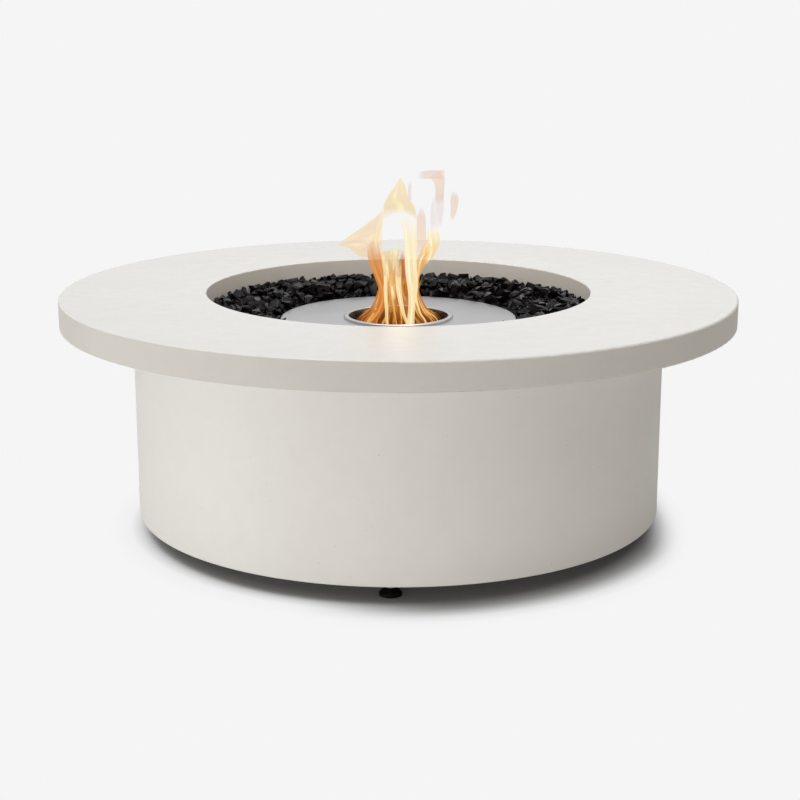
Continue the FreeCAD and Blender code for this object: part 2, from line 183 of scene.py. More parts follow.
# Heights and radii read from the frame
slab_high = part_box("table_top")[1]
plate_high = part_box("burner_plate")[1]
glass_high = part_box("fire_glass")[1]
drum_low, drum_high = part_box("drum_shell")
tray_low, tray_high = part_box("media_tray")
mouth_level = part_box("flame_ring")[1].z
glass_inner_radius = plate_high.x + bed_edge_clearance
glass_level = slab_high.z - glass_drop
tray_inner_radius = tray_high.x - tray_wall
bed_bottom = tray_low.z + tray_floor


def new_material(name):
    """Material with an empty node tree and its output node."""
    material = bpy.data.materials.new(name)
    material.use_nodes = True
    material.node_tree.nodes.clear()
    output = material.node_tree.nodes.new("ShaderNodeOutputMaterial")
    return material, material.node_tree, output


def add_node(tree, kind, inputs=None, **settings):
    """Shader node with its settings, its unlinked values, and links from other nodes' sockets."""
    node = tree.nodes.new("ShaderNode" + kind)
    for key, value in settings.items():
        setattr(node, key, value)
    for key, value in (inputs or {}).items():
        if isinstance(value, bpy.types.NodeSocket):
            tree.links.new(value, node.inputs[key])
        else:
            node.inputs[key].default_value = value
    return node


def noise_field(tree, coordinates, scale, detail=3.0, roughness=0.5):
    """Noise value between 0 and 1."""
    inputs = {"Vector": coordinates, "Scale": scale, "Detail": detail, "Roughness": roughness}
    return add_node(tree, "TexNoise", inputs).outputs["Fac"]


def ramp(tree, value, stops):
    """Colour ramp through (position, colour) stops; a single number is a grey."""
    node = add_node(tree, "ValToRGB", {"Fac": value})
    elements = node.color_ramp.elements
    while len(elements) < len(stops):
        elements.new(0.5)
    for element, (position, colour) in zip(elements, stops):
        if not isinstance(colour, tuple):
            colour = (colour, colour, colour)
        element.position = position
        element.color = (*colour, 1.0)
    return node.outputs["Color"]


def math_node(tree, operation, first, second):
    """Result of one sum on two values."""
    return add_node(tree, "Math", {0: first, 1: second}, operation=operation).outputs[0]


def blend(tree, mode, share, first, second):
    """Colour that mixes a second colour into a first."""
    node = add_node(tree, "Mix", {0: share, 6: first, 7: second}, data_type="RGBA", blend_type=mode)
    return node.outputs[2]


def band(tree, value, start, end):
    """0 before the first value, 1 past the second one, smooth between; the second may be the lower."""
    inputs = {"Value": value, "From Min": start, "From Max": end}
    return add_node(tree, "MapRange", inputs, interpolation_type="SMOOTHSTEP").outputs[0]


def part_of(tree, vector, axis):
    """One axis of a vector or colour."""
    return add_node(tree, "SeparateXYZ", {"Vector": vector}).outputs[axis]


def object_coordinates(tree):
    """Place in the object's own frame, in metres."""
    return add_node(tree, "TexCoord").outputs["Object"]


def radius_of(tree, place):
    """Distance from the table's axis."""
    flat = add_node(tree, "VectorMath", {0: place, 1: (1.0, 1.0, 0.0)}, operation="MULTIPLY")
    return add_node(tree, "VectorMath", {0: flat.outputs[0]}, operation="LENGTH").outputs["Value"]


def bumps(tree, layers):
    """Normal from a chain of (height, distance, strength) bump layers."""
    normal = None
    for height, distance, strength in layers:
        inputs = {"Height": height, "Distance": distance, "Strength": strength}
        if normal is not None:
            inputs["Normal"] = normal
        normal = add_node(tree, "Bump", inputs).outputs["Normal"]
    return normal


def finish_surface(tree, output, inputs):
    """Principled surface with the given inputs."""
    shader = add_node(tree, "BsdfPrincipled", inputs)
    tree.links.new(shader.outputs[0], output.inputs["Surface"])


def mixed_surface(tree, output, share, first, second):
    """Surface that turns from one shader into another."""
    mixed = add_node(tree, "MixShader", {0: share, 1: first.outputs[0], 2: second.outputs[0]})
    tree.links.new(mixed.outputs[0], output.inputs["Surface"])


def darker(colour, share):
    """The same hue at a share of its tone."""
    return tuple(share * channel for channel in colour)


def set_material(item, material):
    """One material for the whole object."""
    if not item.material_slots:
        item.data.materials.append(material)
    for slot in item.material_slots:
        slot.material = material


def add_object(name, data):
    """Object for a mesh, lamp or camera, linked to the scene."""
    item = bpy.data.objects.new(name, data)
    bpy.context.scene.collection.objects.link(item)
    return item


def slab_painted_shade_and_polish(tree, place, base, rough):
    """Painted shade that makes the slab's upright edge greyer and darker, and the slab's smoother top."""
    upper = band(tree, part_of(tree, place, "Z"), slab_high.z - slab_top_skin, slab_high.z)
    outer = band(tree, radius_of(tree, place), slab_high.x - slab_rim_start, slab_high.x - slab_rim_end)
    side = math_node(tree, "MULTIPLY", outer, math_node(tree, "SUBTRACT", 1.0, upper))
    # Painted shade on the slab's upright edge
    shaded_edge_colour = blend(tree, "MULTIPLY", 1.0, base, slab_edge_painted_shade)
    sheen = math_node(tree, "MULTIPLY", upper, slab_top_sheen)
    smoother = math_node(tree, "MULTIPLY", rough, math_node(tree, "SUBTRACT", 1.0, sheen))
    return blend(tree, "MIX", side, base, shaded_edge_colour), smoother


def drum_painted_light(tree, place, base):
    """Painted light on the drum's colour, from darker at its top to paler at its foot."""
    fall = band(tree, part_of(tree, place, "Z"), drum_high.z, drum_low.z)
    tone = blend(tree, "MIX", fall, drum_top_painted_shade, drum_foot_painted_light)
    return blend(tree, "MULTIPLY", 1.0, base, tone)


def pinholes(tree, place):
    """1 in sparse small pores, 0 elsewhere."""
    cells = add_node(tree, "TexVoronoi", {"Vector": place, "Scale": 105.0, "Randomness": 1.0})
    chosen = ramp(tree, noise_field(tree, place, 61.0, 2.0), [(0.58, 0.0), (0.66, 1.0)])
    pit = ramp(tree, cells.outputs["Distance"], [(0.055, 1.0), (0.105, 0.0)])
    return math_node(tree, "MULTIPLY", chosen, pit)


def cast_concrete(name, is_slab):
    """Smooth cast concrete: cloudy tone, fine sand grain and sparse pinholes."""
    material, tree, output = new_material(name)
    place = object_coordinates(tree)
    cloud = noise_field(tree, place, 5.0, 5.0, 0.55)
    mottle = noise_field(tree, place, 38.0, 4.0, 0.6)
    tone = math_node(tree, "ADD", math_node(tree, "MULTIPLY", cloud, 0.62),
                     math_node(tree, "MULTIPLY", mottle, 0.38))
    base = ramp(tree, tone, [(0.34, concrete_dark), (0.66, concrete_pale)])
    rough = ramp(tree, mottle, [(0.3, 0.56), (0.7, 0.68)])
    if is_slab:
        # Painted shade on the slab's upright edge
        base, rough = slab_painted_shade_and_polish(tree, place, base, rough)
    else:
        # Painted light: the drum's colour paler towards its foot
        base = drum_painted_light(tree, place, base)
    pore = pinholes(tree, place)
    colour = blend(tree, "MIX", pore, base, (*darker(concrete_dark, 0.72), 1.0))
    grain = noise_field(tree, place, 900.0, 2.0, 0.7)
    hollow = math_node(tree, "SUBTRACT", 1.0, pore)
    layers = [(cloud, 0.0012, 0.25), (grain, 0.00008, 0.5), (hollow, 0.0004, 0.8)]
    finish_surface(tree, output, {
        "Base Color": colour, "Roughness": rough, "Specular IOR Level": 0.35,
        "Normal": bumps(tree, layers)})
    return material


def satin_steel(name, tone, polish):
    """Stainless steel with grain in fine rings about the table's axis and faint handling marks."""
    material, tree, output = new_material(name)
    place = object_coordinates(tree)
    rings = add_node(tree, "CombineXYZ", {"X": radius_of(tree, place), "Y": part_of(tree, place, "Z")})
    fine = noise_field(tree, rings.outputs[0], 2600.0, 3.0, 0.7)
    drift = noise_field(tree, place, 14.0, 2.0)
    base = ramp(tree, fine, [(0.2, darker(tone, 0.90)), (0.8, tone)])
    rough = ramp(tree, drift, [(0.3, polish), (0.7, polish + 0.07)])
    finish_surface(tree, output, {
        "Base Color": base, "Metallic": 1.0, "Roughness": rough,
        "Normal": bumps(tree, [(fine, 0.00003, 0.6), (drift, 0.0004, 0.1)])})
    return material


def black_paint():
    """Matt heat-proof paint with a little orange peel and dust."""
    material, tree, output = new_material("black_heat_paint")
    place = object_coordinates(tree)
    dust = noise_field(tree, place, 24.0, 5.0, 0.65)
    base = ramp(tree, dust, [(0.35, (0.012, 0.012, 0.012)), (0.72, (0.030, 0.029, 0.028))])
    rough = ramp(tree, dust, [(0.3, 0.50), (0.7, 0.66)])
    finish_surface(tree, output, {
        "Base Color": base, "Roughness": rough,
        "Normal": bumps(tree, [(noise_field(tree, place, 700.0, 2.0), 0.0001, 0.5)])})
    return material


def galvanised():
    """Zinc-dipped steel with its patchwork of crystals."""
    material, tree, output = new_material("galvanised_sheet")
    place = object_coordinates(tree)
    cells = add_node(tree, "TexVoronoi", {"Vector": place, "Scale": 140.0})
    tone = part_of(tree, cells.outputs["Color"], "X")
    base = ramp(tree, tone, [(0.0, (0.40, 0.41, 0.42)), (1.0, (0.58, 0.59, 0.60))])
    rough = ramp(tree, tone, [(0.0, 0.38), (1.0, 0.56)])
    finish_surface(tree, output, {
        "Base Color": base, "Metallic": 1.0, "Roughness": rough,
        "Normal": bumps(tree, [(noise_field(tree, place, 300.0), 0.0001, 0.3)])})
    return material


def machined(name, pale, dark, polish):
    """Turned or plated metal of small fixings, with fine tool marks."""
    material, tree, output = new_material(name)
    place = object_coordinates(tree)
    marks = noise_field(tree, place, 1800.0, 3.0, 0.7)
    stain = noise_field(tree, place, 90.0, 4.0, 0.6)
    base = ramp(tree, stain, [(0.35, dark), (0.65, pale)])
    rough = ramp(tree, stain, [(0.3, polish), (0.7, polish + 0.12)])
    finish_surface(tree, output, {
        "Base Color": base, "Metallic": 1.0, "Roughness": rough,
        "Normal": bumps(tree, [(marks, 0.00003, 0.5)])})
    return material


def moulded(name, pale, dark, polish, grain_size, grain_depth):
    """Moulded plastic or rubber with an even grain."""
    material, tree, output = new_material(name)
    place = object_coordinates(tree)
    scuff = noise_field(tree, place, 120.0, 5.0, 0.65)
    grain = noise_field(tree, place, 1.0 / grain_size, 2.0, 0.6)
    base = ramp(tree, scuff, [(0.4, dark), (0.75, pale)])
    rough = ramp(tree, scuff, [(0.3, polish), (0.7, polish + 0.12)])
    finish_surface(tree, output, {
        "Base Color": base, "Roughness": rough, "Specular IOR Level": 0.10,
        "Normal": bumps(tree, [(grain, grain_depth, 0.6)])})
    return material


def main_materials():
    """Gives every CAD node the finish of its material slot, and a few nodes one of their own."""
    nylon_pale, nylon_dark = (0.003, 0.0022, 0.0022), (0.0012, 0.001, 0.001)
    rubber_pale, rubber_dark = (0.035, 0.034, 0.033), (0.018, 0.018, 0.018)
    finishes = {
        "cast_concrete": cast_concrete("bone_concrete", is_slab=False),
        "satin_stainless": satin_steel("satin_stainless", (0.50, 0.50, 0.51), 0.36),
        "tray_black": black_paint(),
        "galvanised_steel": galvanised(),
        "zinc_fasteners": machined("zinc_plate", (0.62, 0.62, 0.63), (0.50, 0.50, 0.52), 0.24),
        "sleeve_brass": machined("sleeve_brass", (0.62, 0.47, 0.24), (0.50, 0.36, 0.17), 0.30),
        "foot_nylon": moulded("black_nylon", nylon_pale, nylon_dark, 0.42, 0.0006, 0.0001),
        "foot_rubber": moulded("black_rubber", rubber_pale, rubber_dark, 0.78, 0.0004, 0.00008),
    }
    for part in frame["record"]["subparts"]:
        if part["material_slot"] in finishes:
            set_material(nodes[part["node"]], finishes[part["material_slot"]])
    set_material(nodes["table_top"], cast_concrete("bone_concrete_slab", is_slab=True))
    set_material(nodes["flame_ring"], satin_steel("rim_stainless", (0.53, 0.53, 0.53), 0.24))
    # Painted glow and shade: a dark orange-brown steel inside the burner's mouth, standing in for the
    # flame's glow on its shaded walls
    mouth_glow_shade = satin_steel("mouth_painted_glow_stainless", (0.105, 0.045, 0.022), 0.50)
    for name in ("burner_throat", "tank_lid", "fuel_tank", "baffle_ring"):
        set_material(nodes[name], mouth_glow_shade)


def black_glass():
    """Opaque black glass with conchoidal ripples, a little dust, and a few facets that glint."""
    material, tree, output = new_material("black_crushed_glass")
    place = object_coordinates(tree)
    dust = noise_field(tree, place, 55.0, 4.0, 0.65)
    base = ramp(tree, dust, [(0.35, (0.0052, 0.0042, 0.0054)), (0.75, (0.0120, 0.0100, 0.0118))])
    rough = ramp(tree, noise_field(tree, place, 130.0, 3.0), [(0.35, 0.10), (0.7, 0.30)])
    facets = add_node(tree, "TexVoronoi", {"Vector": place, "Scale": 85.0}).outputs["Color"]
    shine = ramp(tree, part_of(tree, facets, "X"), [(0.0, 0.04), (0.80, 0.12), (0.93, 0.38)])
    shell = add_node(tree, "TexWave", {"Vector": place, "Scale": 95.0, "Distortion": 9.0, "Detail": 2.0})
    ripple = noise_field(tree, place, 260.0, 2.0)
    layers = [(shell.outputs["Fac"], 0.0004, 0.35), (ripple, 0.0003, 0.3)]
    finish_surface(tree, output, {
        "Base Color": base, "Roughness": rough, "IOR": 1.5, "Specular IOR Level": shine,
        "Normal": bumps(tree, layers)})
    return material


def shard(draw):
    """Corner points and faces of one broken piece of glass, about 1 unit across."""
    hull = bmesh.new()
    for _ in range(draw.randint(*shard_corners)):
        direction = Vector((draw.gauss(0, 1), draw.gauss(0, 1), draw.gauss(0, 1))).normalized()
        point = direction * draw.uniform(*shard_reach)
        hull.verts.new((point.x, point.y * draw.uniform(*shard_width), point.z * shard_flatness))
    result = bmesh.ops.convex_hull(hull, input=hull.verts)
    unused = [item for item in result["geom_interior"] if isinstance(item, bmesh.types.BMVert)]
    bmesh.ops.delete(hull, geom=unused, context="VERTS")
    merge = math.radians(shard_merge_angle)
    bmesh.ops.dissolve_limit(hull, angle_limit=merge, verts=hull.verts, edges=hull.edges)
    hull.verts.index_update()
    points = [vertex.co.copy() for vertex in hull.verts]
    faces = [[vertex.index for vertex in face.verts] for face in hull.faces]
    hull.free()
    return points, faces


def bed_height(radius):
    """Height of the fire glass: level outside, falling to the burner plate's edge."""
    share = min(1.0, max(0.0, (radius - glass_inner_radius) / bed_slope_width))
    return plate_high.z + (glass_level - plate_high.z) * share * (2.0 - share)


def scattered_places(draw, spacing, tries):
    """Random places on the ring of glass, none nearer to each other than the spacing."""
    cells = {}
    places = []
    inner, outer = glass_inner_radius + glass_margin, glass_high.x - glass_margin
    for _ in range(tries):
        radius = math.sqrt(draw.uniform(inner ** 2, outer ** 2))
        angle = draw.uniform(0.0, 2.0 * math.pi)
        point = (radius * math.cos(angle), radius * math.sin(angle))
        cell = (int(point[0] // spacing), int(point[1] // spacing))
        near = (cells.get((cell[0] + i, cell[1] + j)) for i in (-1, 0, 1) for j in (-1, 0, 1))
        crowd = [other for group in near if group for other in group]
        if all(math.dist(point, other) >= spacing for other in crowd):
            cells.setdefault(cell, []).append(point)
            places.append(point)
    return places


def crests():
    """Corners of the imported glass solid's jagged top, where the upper pieces of glass lie."""
    found = {}
    for vertex in nodes["fire_glass"].data.vertices:
        place = vertex.co
        at_wall = math.hypot(place.x, place.y) > tray_inner_radius - rim_wall_slack
        on_rim = at_wall and abs(place.z - tray_high.z) < rim_level_slack
        if place.z > plate_high.z - crest_depth and not on_rim:
            found[tuple(round(value, 4) for value in place)] = place.copy()
    return [found[key] for key in sorted(found)]


def keep_in_ring(point):
    """Moves a corner sideways until it is clear of the tray's wall, the slab and the plate."""
    radius = math.hypot(point.x, point.y)
    limit = glass_high.x if point.z > tray_high.z + rim_level_slack else tray_inner_radius
    wanted = min(max(radius, glass_inner_radius), limit)
    return Vector((point.x * wanted / radius, point.y * wanted / radius, point.z))


def crushed_glass():
    """Loose black glass: buried layers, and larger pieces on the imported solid's crests."""
    draw = random.Random(glass_seed)
    shapes = [shard(draw) for _ in range(shard_kinds)]
    corners, faces = [], []

    def lay(x, y, height, size):
        points, sides = draw.choice(shapes)
        turn = Matrix.Rotation(draw.uniform(0, 2 * math.pi), 3, "Z")
        tip = Matrix.Rotation(draw.gauss(0, shard_tilt), 3, "X")
        first = len(corners)
        turned = [turn @ (tip @ (point * size)) for point in points]
        top = max(point.z for point in turned)
        middle = Vector((x, y, height - top))
        corners.extend(keep_in_ring(middle + point) for point in turned)
        faces.extend([first + index for index in side] for side in sides)

    for sink, spacing, tries, small, large in chip_layers:
        for x, y in scattered_places(draw, spacing, tries):
            lay(x, y, bed_height(math.hypot(x, y)) - sink, draw.uniform(small, large))
    for crest in crests():
        lay(crest.x, crest.y, crest.z, draw.triangular(chip_smallest, chip_largest))
    return glass_piece("fire_glass_chips", corners, faces)


def glass_bed():
    """Closed ring of the glass that lies under the visible layers."""
    width = tray_inner_radius - glass_inner_radius
    rows = [(glass_inner_radius + width * step / bed_rows, True) for step in range(bed_rows + 1)]
    rows = [(glass_inner_radius, False), *rows, (tray_inner_radius, False)]
    corners, faces = [], []
    for sector in range(bed_sectors):
        angle = 2.0 * math.pi * sector / bed_sectors
        for radius, on_top in rows:
            x, y = radius * math.cos(angle), radius * math.sin(angle)
            lump = bed_lump * noise.noise(Vector((x, y, 0.0)) * bed_lump_scale)
            height = bed_height(radius) - bed_sink + lump if on_top else bed_bottom
            corners.append((x, y, height))
    count = len(rows)
    for sector in range(bed_sectors):
        here, after = sector * count, (sector + 1) % bed_sectors * count
        for row in range(count):
            beyond = (row + 1) % count
            faces.append((here + row, after + row, after + beyond, here + beyond))
    return glass_piece("fire_glass_bed", corners, faces)


def glass_piece(name, corners, faces):
    """Object for a mesh of fire glass."""
    mesh = bpy.data.meshes.new(name)
    mesh.from_pydata(corners, [], faces)
    mesh.validate()
    return add_object(name, mesh)


def fire_glass():
    """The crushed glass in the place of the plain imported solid."""
    material = black_glass()
    for piece in (crushed_glass(), glass_bed()):
        set_material(piece, material)
        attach(piece, "table")
        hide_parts("fire_glass")


def burning_surface(tree, output, alpha, colour):
    """Surface that glows in the colour where alpha is 1 and is clear where it is 0."""
    clear = add_node(tree, "BsdfTransparent")
    glow = add_node(tree, "Emission", {"Color": colour, "Strength": 1.0})
    mixed_surface(tree, output, alpha, clear, glow)


def flame_material(name, low, high, bright, cover, start, end, streaks=3.0):
    """Thin burning gas: see-through, with soft ragged rims and bright streaks along its length."""
    material, tree, output = new_material(name)
    spot = add_node(tree, "UVMap").outputs["UV"]
    across, along = part_of(tree, spot, "X"), part_of(tree, spot, "Y")
    stretch = add_node(tree, "Mapping", {"Vector": spot, "Scale": (streaks, 1.4, 1.0)}).outputs[0]
    streak = noise_field(tree, stretch, 1.0, 3.0, 0.55)
    ragged = math_node(tree, "MULTIPLY", math_node(tree, "SUBTRACT", streak, 0.5), 0.5)
    middle = math_node(tree, "MULTIPLY", across, math_node(tree, "SUBTRACT", 1.0, across))
    middle = math_node(tree, "MULTIPLY", middle, 4.0)
    edge = band(tree, math_node(tree, "ADD", middle, ragged), 0.0, 0.34)
    rise = math_node(tree, "ADD", along, math_node(tree, "MULTIPLY", ragged, 0.6))
    ends = ramp(tree, rise, [(0.0, start), (0.14, 1.0), (0.72, 1.0), (0.98, end)])
    veil = ramp(tree, streak, [(0.30, 0.78), (0.55, 1.0)])
    alpha = math_node(tree, "MULTIPLY", math_node(tree, "MULTIPLY", edge, ends), veil)
    alpha = math_node(tree, "MULTIPLY", alpha, cover)
    body = blend(tree, "MIX", along, (*low, 1.0), (*high, 1.0))
    lit = math_node(tree, "MULTIPLY", band(tree, middle, 0.15, 0.75), band(tree, streak, 0.42, 0.62))
    colour = blend(tree, "MIX", lit, body, (*bright, 1.0))
    burning_surface(tree, output, alpha, colour)
    return material


def curtain_material():
    """Amber veil with upright strands, open at its top."""
    material, tree, output = new_material("flame_curtain")
    spot = add_node(tree, "UVMap").outputs["UV"]
    along = part_of(tree, spot, "Y")
    stretch = add_node(tree, "Mapping", {"Vector": spot, "Scale": (52.0, 1.5, 1.0)}).outputs[0]
    streak = noise_field(tree, stretch, 1.0, 2.0, 0.5)
    veil = ramp(tree, streak, [(0.34, 0.25), (0.48, 0.75), (0.62, 0.95)])
    ends = ramp(tree, along, [(0.0, 0.5), (0.1, 0.95), (0.62, 0.85), (0.95, 0.0)])
    alpha = math_node(tree, "MULTIPLY", veil, ends)
    cool = blend(tree, "MIX", along, (0.30, 0.075, 0.010, 1.0), (0.70, 0.24, 0.04, 1.0))
    colour = blend(tree, "MIX", band(tree, streak, 0.50, 0.68), cool, (0.93, 0.50, 0.13, 1.0))
    burning_surface(tree, output, alpha, colour)
    return material


def smooth_path(points, steps):
    """Points on a smooth curve through the given ones."""
    padded = [2 * points[0] - points[1], *points, 2 * points[-1] - points[-2]]
    spans = len(points) - 1
    path = []
    for step in range(steps + 1):
        where = step / steps * spans
        span = min(int(where), spans - 1)
        t = where - span
        a, b, c, d = padded[span:span + 4]
        path.append(0.5 * (2 * b + (c - a) * t + (2 * a - 5 * b + 4 * c - d) * t * t
                           + (3 * b - a - 3 * c + d) * t ** 3))
    return path


def grid_faces(rows, columns):
    """Four-cornered faces of a grid whose corners are numbered row by row."""
    width = columns + 1
    firsts = [row * width + column for row in range(rows) for column in range(columns)]
    return [(first, first + 1, first + width + 1, first + width) for first in firsts]


def flame_object(name, corners, faces, spots, material):
    """Thin sheet of flame; it isn't a piece of the table, and moves with the burner."""
    mesh = bpy.data.meshes.new(name)
    mesh.from_pydata(corners, [], faces)
    layer = mesh.uv_layers.new(name="UVMap")
    for loop in mesh.loops:
        layer.data[loop.index].uv = spots[loop.vertex_index]
    mesh.shade_smooth()
    sheet = add_object(name, mesh)
    set_material(sheet, material)
    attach(sheet, "burner")


def curtain_front(x, height):
    """How far in front of the axis the curtain's surface lies, up to its waist; nothing above it."""
    share = min(1.0, max(0.0, (tongue_clear_height - height) / tongue_clear_fade))
    for (low, low_radius), (high, high_radius) in zip(flame_waist, flame_waist[1:]):
        if height <= high or high == flame_top:
            part = min(1.0, max(0.0, (height - low) / (high - low)))
            radius = low_radius + (high_radius - low_radius) * part
            return share * math.sqrt(max(0.0, (tongue_stand_off * radius) ** 2 - x * x))


def flame_sheet(name, left, right, material, bulge=0.0, depth=0.0, arch=0.0, columns=8):
    """Curved sheet of flame between two edges of points; it bulges out, and its root may be an arch."""
    steps = 36
    left = smooth_path([Vector(point) for point in left], steps)
    right = smooth_path([Vector(point) for point in right], steps)
    corners, spots = [], []
    for row, (one, other) in enumerate(zip(left, right)):
        for column in range(columns + 1):
            across = column / columns
            point = one.lerp(other, across)
            point.y += depth - bulge * math.sin(math.pi * across) * math.sin(math.pi * row / steps)
            point.z += arch * math.sin(math.pi * across) * (1.0 - row / steps) ** 3
            if depth < 0.0:
                point.y = min(point.y, -curtain_front(point.x, point.z - mouth_level))
            corners.append(point)
            spots.append((across, row / steps))
    flame_object(name, corners, grid_faces(steps, columns), spots, material)


def flame_strand(name, foot, waist, half_width, top, material):
    """Ribbon that rises from the mouth's rim and leans in to the waist, turning a little on its way."""
    left, right = [], []
    for height, radius in flame_waist:
        share = min(1.0, max(0.0, height - flame_root) / strand_lean_height)
        level = mouth_level + height * (top / flame_top if height > 0 else 1.0)
        for side, edge in ((-1, left), (1, right)):
            reach = strand_stand_off * radius
            spread = side * half_width * (strand_root_width + strand_widening * share) / radius
            here = math.radians(foot + (waist - foot) * share) + spread
            edge.append((reach * math.cos(here), reach * math.sin(here), level))
    flame_sheet(name, left, right, material, columns=4)


def flame_curtain():
    """Thin shell of flame all round, from the mouth's rim in to the waist and out again."""
    steps, sectors = 30, 72
    folds_round, folds_up, fold_depth = 2.2, 18.0, 0.07
    profile = smooth_path([Vector((radius, 0.0, height)) for height, radius in flame_waist], steps)
    corners, spots = [], []
    for row, point in enumerate(profile):
        for sector in range(sectors + 1):
            angle = 2.0 * math.pi * sector / sectors + 0.5 * math.pi
            around = (folds_round * math.cos(angle), folds_round * math.sin(angle), folds_up * point.z)
            radius = point.x * (1.0 + fold_depth * noise.noise(Vector(around)))
            corners.append((radius * math.cos(angle), radius * math.sin(angle), mouth_level + point.z))
            spots.append((sector / sectors, row / steps))
    flame_object("flame_curtain", corners, grid_faces(steps, sectors), spots, curtain_material())


def tongue_edge(points):
    """Points of a tongue's edge, given across and above the mouth's middle in millimetres."""
    return [(x / 1000.0, 0.0, mouth_level + z / 1000.0) for x, z in points]


# Colours of the flame
ember, deep, amber, gold = (0.30, 0.07, 0.01), (0.56, 0.15, 0.02), (0.76, 0.28, 0.05), (0.95, 0.58, 0.16)
cream, white_hot, tan = (1.0, 0.86, 0.52), (1.0, 0.95, 0.76), (0.86, 0.66, 0.36)
peach, rose, copper = (0.90, 0.62, 0.38), (0.70, 0.48, 0.44), (0.82, 0.38, 0.11)
apricot, honey, straw = (1.0, 0.76, 0.38), (1.0, 0.80, 0.50), (0.90, 0.74, 0.46)
smoke = (0.80, 0.74, 0.70)

# Cover of the strands in their middle, at the root and the tip, and how many streaks lie side by side
strand_cover = (0.95, 0.9, 0.0)
back_strand_cover = (0.8, 0.8, 0.0)
strand_streaks = 2.0

# Strands at the front: angle at the mouth and at the waist, half the width and height in mm, colours
flame_strands = {
    "a": (-168, -178, 1.5, 66, deep, amber),
    "b": (-152, -166, 1.7, 60, deep, copper),
    "c": (-137, -152, 2.4, 80, copper, gold),
    "d": (-120, -142, 1.7, 60, deep, copper),
    "e": (-103, -130, 3.0, 100, gold, cream),
    "f": (-91, -108, 1.8, 80, deep, gold),
    "g": (-76, -90, 3.3, 98, gold, cream),
    "h": (-50, -36, 2.5, 80, gold, cream),
    "i": (-36, -20, 1.9, 60, amber, gold),
    "j": (-22, -8, 1.9, 58, gold, cream),
    "k": (-8, 6, 1.5, 62, deep, amber),
}

# Strands at the back, spread evenly with a random shift, turn in degrees, half width and height
back_seed = 7
back_strands = 9
back_shift = (0.2, 0.8)
back_turn = (-14, 14)
back_half_width = (0.0012, 0.0028)
back_height = (0.055, 0.075)

# Tongues whose root is an arch, and how far its middle rises
root_arches = {"peak": 0.013, "left_shoulder": 0.004}

# Tongues: their two edges from root to tip in mm across and above the mouth's middle; how far they bulge
# and their depth in mm; colours of root, tip and streaks; cover in their middle, at the root and the tip
flame_tongues = {
    "left_body": (
        [(-56, -4), (-39, 11), (-32, 30), (-32, 47), (-38, 63), (-46, 85), (-49, 104), (-44, 122)],
        [(-36, -4), (-24, 11), (-17, 30), (-16, 47), (-20, 63), (-24, 85), (-28, 104), (-32, 124)],
        (6, -18), (deep, amber, copper), (0.94, 0.8, 0.0)),
    "left_wing": (
        [(-26, 80), (-58, 88), (-76, 103), (-93, 110)],
        [(-24, 168), (-38, 154), (-55, 140), (-76, 125), (-93, 112)],
        (12, 4), (peach, tan, honey), (0.74, 0.6, 0.9)),
    "left_shoulder": (
        [(-42, 90), (-41, 117), (-35, 139), (-28, 158), (-24, 174)],
        [(-28, 90), (-30, 117), (-26, 139), (-21, 158), (-13, 174)],
        (5, 0), (peach, cream, cream), (0.60, 0.0, 0.3)),
    "middle_cup": (
        [(-19, 30), (-23, 56), (-28, 84), (-31, 102)],
        [(3, 30), (0, 58), (1, 85), (5, 106)],
        (12, -14), (amber, tan, cream), (0.94, 0.0, 0.9)),
    "dark_gap": (
        [(3, 36), (1, 60), (1, 84), (4, 106)],
        [(10, 36), (12, 60), (12, 84), (11, 108)],
        (5, -20), (ember, deep, amber), (0.90, 0.0, 0.0)),
    "column": (
        [(10, -9), (14, 10), (15, 30), (13, 52), (10, 74), (8, 117), (6, 139), (-4, 160)],
        [(25, -9), (26, 10), (28, 30), (31, 52), (30, 74), (29, 117), (30, 139), (31, 162)],
        (12, -34), (apricot, cream, white_hot), (0.97, 1.0, 0.2)),
    "peak": (
        [(-25, 150), (-25, 172), (-18, 186), (-7, 201), (3, 216)],
        [(32, 148), (28, 168), (17, 185), (11, 203), (4, 216)],
        (12, -6), (tan, straw, cream), (0.88, 0.3, 0.8)),
    "right_root": (
        [(24, 30), (26, 56), (28, 84), (36, 104), (45, 124)],
        [(33, 36), (34, 62), (45, 84), (56, 100), (64, 118)],
        (8, -2), (amber, gold, cream), (0.94, 0.0, 0.0)),
    "right_strand": (
        [(38, 80), (43, 104), (44, 122), (46, 140)],
        [(50, 82), (61, 104), (65, 122), (60, 142)],
        (6, -6), (gold, cream, white_hot), (0.90, 0.0, 0.2)),
    "right_veil": (
        [(28, 92), (28, 130), (29, 150), (33, 170)],
        [(46, 92), (44, 128), (43, 150), (39, 170)],
        (6, 14), (peach, rose, peach), (0.60, 0.2, 0.0)),
    "right_mist": (
        [(50, 128), (49, 152), (51, 171), (54, 186)],
        [(68, 136), (71, 158), (72, 177), (71, 196)],
        (6, 16), (rose, rose, smoke), (0.34, 0.0, 0.0)),
    "right_wisp": (
        [(57, 172), (57, 193), (55, 206), (46, 214)],
        [(70, 172), (72, 196), (72, 212), (66, 226)],
        (6, 10), (rose, peach, peach), (0.60, 0.0, 0.6)),
    "top_wisp": (
        [(72, 210), (56, 212), (42, 212), (30, 211)],
        [(72, 226), (54, 226), (42, 225), (28, 222)],
        (3, 10), (rose, rose, peach), (0.52, 0.6, 0.1)),
    "thin_wisp": (
        [(15, 176), (15, 193), (16, 210)],
        [(21, 176), (20, 193), (21, 211)],
        (3, 10), (rose, rose, rose), (0.42, 0.0, 0.0)),
    "far_wisp": (
        [(80, 146), (81, 166), (81, 182), (83, 192)],
        [(86, 146), (92, 163), (94, 180), (91, 192)],
        (3, 12), (peach, rose, peach), (0.62, 0.0, 0.2)),
}


